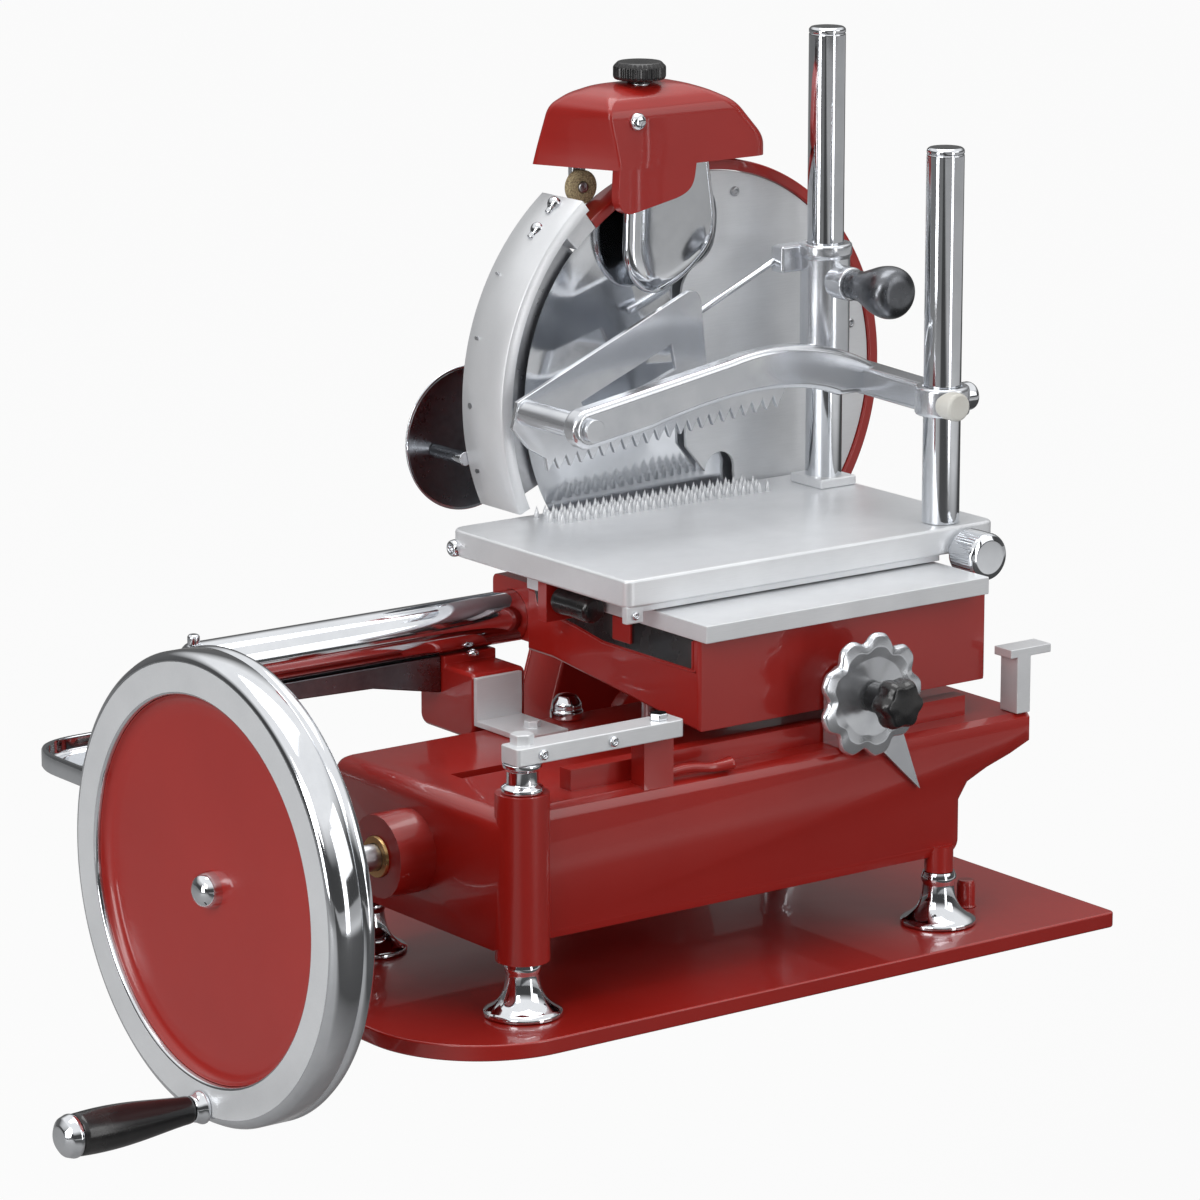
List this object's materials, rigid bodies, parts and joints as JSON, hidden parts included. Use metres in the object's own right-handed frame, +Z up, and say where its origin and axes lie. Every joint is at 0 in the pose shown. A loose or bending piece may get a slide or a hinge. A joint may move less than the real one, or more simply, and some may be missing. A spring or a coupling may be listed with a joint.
{
  "type": "hand crank meat slicer",
  "caption": "Flywheel driven slicer: a hand wheel turns a round blade and a crank linkage while a sliding carriage carries a meat table with posts, clamp arm and comb plate.",
  "frame": {"origin": "Middle of the underside of the base plate.", "axes": "+X runs along the machine away from the flywheel, +Y runs from the operator side to the blade, +Z is up."},
  "size_m": [0.8025, 0.473, 0.6526],
  "materials": {
    "gloss_red_paint": "gloss",
    "polished_chrome": "polished",
    "machined_steel": "satin",
    "cast_aluminium": "satin",
    "plate_aluminium": "satin",
    "black_plastic": "gloss",
    "bearing_bronze": "satin",
    "black_steel": "satin",
    "abrasive_stone": "matte"
  },
  "bodies": {
    "frame": {"base_plate": "gloss_red_paint", "foot_front_left": "polished_chrome", "foot_front_right": "polished_chrome", "foot_rear_left": "polished_chrome", "foot_rear_right": "polished_chrome", "main_body": "gloss_red_paint", "shaft_bush": "bearing_bronze", "gear_bridge": "cast_aluminium", "crank_axle": "machined_steel", "rail_tube": "polished_chrome", "rail_support_bar": "black_steel", "rail_head": "gloss_red_paint", "left_rail_bracket": "cast_aluminium", "right_rail_bracket": "cast_aluminium", "column_collar": "polished_chrome", "stop_bar": "plate_aluminium", "right_stop_bracket": "cast_aluminium", "dial_bracket": "cast_aluminium", "blade_support": "gloss_red_paint", "blade_ring": "gloss_red_paint", "blade_guard": "cast_aluminium", "cover_plate": "plate_aluminium", "chain_cover": "gloss_red_paint", "drive_chain": "black_steel", "slice_deflector": "polished_chrome", "slice_tray": "polished_chrome"},
    "flywheel": {"flywheel_rim": "polished_chrome", "flywheel_disc": "gloss_red_paint", "hub_cap": "polished_chrome", "main_shaft": "machined_steel", "crank_pinion": "machined_steel", "shaft_mitre_gear": "machined_steel", "handle_pin": "polished_chrome"},
    "handle": {"crank_grip": "black_plastic"},
    "cross_drive": {"cross_shaft": "machined_steel", "cross_mitre_gear": "machined_steel", "driving_sprocket": "machined_steel"},
    "blade_unit": {"blade": "polished_chrome", "blade_shaft": "machined_steel", "blade_sprocket": "machined_steel"},
    "crank": {"crank_disc": "machined_steel"},
    "carriage": {"carriage_body": "gloss_red_paint", "carriage_slideway": "plate_aluminium", "carriage_bearing": "gloss_red_paint", "drive_lug": "machined_steel"},
    "rod": {"connecting_rod": "machined_steel"},
    "release": {"release_grip": "black_plastic"},
    "table": {"meat_table": "plate_aluminium", "front_post": "polished_chrome", "rear_post": "polished_chrome"},
    "feed_screw": {"feed_knob": "polished_chrome"},
    "dial": {"thickness_dial": "cast_aluminium"},
    "dial_lock": {"dial_knob": "black_plastic"},
    "clamp": {"clamp_arm": "cast_aluminium"},
    "clamp_lock": {"clamp_knob": "black_steel"},
    "presser": {"presser_plate": "cast_aluminium"},
    "sharpener": {"sharpener_hood": "gloss_red_paint", "sharpener_arm": "cast_aluminium"},
    "sharpener_lock": {"sharpener_knob": "black_plastic"},
    "stone": {"grinding_stone": "abrasive_stone"}
  },
  "joints": [
    {"name": "flywheel_spin", "type": "hinge", "parent": "frame", "child": "flywheel", "pos_m": [-0.3, -0.05, 0.103], "axis": [1, 0, 0], "continuous": true},
    {"name": "handle_spin", "type": "hinge", "parent": "flywheel", "child": "handle", "pos_m": [-0.42, -0.05, -0.041], "axis": [1, 0, 0], "continuous": true},
    {"name": "cross_shaft_spin", "type": "hinge", "parent": "frame", "child": "cross_drive", "pos_m": [0.125, 0.05, 0.103], "axis": [0, 1, 0], "continuous": true},
    {"name": "blade_spin", "type": "hinge", "parent": "frame", "child": "blade_unit", "pos_m": [0.165, 0.13, 0.345], "axis": [0, 1, 0], "continuous": true},
    {"name": "crank_spin", "type": "hinge", "parent": "frame", "child": "crank", "pos_m": [0.06, -0.05, 0.125], "axis": [0, 0, 1], "continuous": true},
    {"name": "carriage_slide", "type": "slide", "parent": "frame", "child": "carriage", "axis": [1, 0, 0], "range_m": [-0.15, 0]},
    {"name": "rod_swing", "type": "hinge", "parent": "carriage", "child": "rod", "pos_m": [-0.01, -0.05, 0.136], "axis": [0, 0, 1], "range_deg": [-31, 31]},
    {"name": "release_turn", "type": "hinge", "parent": "carriage", "child": "release", "pos_m": [-0.04, 0, 0.237], "axis": [0, 1, 0], "range_deg": [0, 90]},
    {"name": "table_feed", "type": "slide", "parent": "carriage", "child": "table", "axis": [0, -1, 0], "range_m": [0, 0.045]},
    {"name": "feed_screw_turn", "type": "hinge", "parent": "table", "child": "feed_screw", "pos_m": [0.233, -0.1, 0.252], "axis": [0, 1, 0], "range_deg": [0, 3240]},
    {"name": "dial_turn", "type": "hinge", "parent": "frame", "child": "dial", "pos_m": [0.095, -0.1575, 0.184], "axis": [0, 1, 0], "range_deg": [0, 300]},
    {"name": "dial_lock_turn", "type": "hinge", "parent": "frame", "child": "dial_lock", "pos_m": [0.095, -0.17, 0.184], "axis": [0, 1, 0], "range_deg": [0, 180]},
    {"name": "clamp_lift", "type": "slide", "parent": "table", "child": "clamp", "axis": [0, 0, 1], "range_m": [-0.015, 0.09]},
    {"name": "clamp_lock_turn", "type": "hinge", "parent": "clamp", "child": "clamp_lock", "pos_m": [0.242, 0.02, 0.418], "axis": [0, 1, 0], "range_deg": [0, 90]},
    {"name": "presser_tilt", "type": "hinge", "parent": "clamp", "child": "presser", "pos_m": [-0.012, 0.05, 0.35], "axis": [0, 1, 0], "range_deg": [-10, 4]},
    {"name": "sharpener_lift", "type": "slide", "parent": "frame", "child": "sharpener", "axis": [0, 0, 1], "range_m": [0, 0.02]},
    {"name": "sharpener_lock_turn", "type": "hinge", "parent": "sharpener", "child": "sharpener_lock", "pos_m": [0.112, 0.124, 0.58], "axis": [0, 0, 1], "range_deg": [0, 180]},
    {"name": "stone_spin", "type": "hinge", "parent": "sharpener", "child": "stone", "pos_m": [0.073, 0.14, 0.4915], "axis": [0, 1, 0], "continuous": true}
  ],
  "couplings": [
    {"joint": "cross_shaft_spin", "follows": "flywheel_spin", "ratio": 1},
    {"joint": "blade_spin", "follows": "flywheel_spin", "ratio": 2.3333},
    {"joint": "crank_spin", "follows": "flywheel_spin", "ratio": 0.5},
    {"joint": "feed_screw_turn", "follows": "table_feed", "rad_per_m": 1256.6}
  ]
}
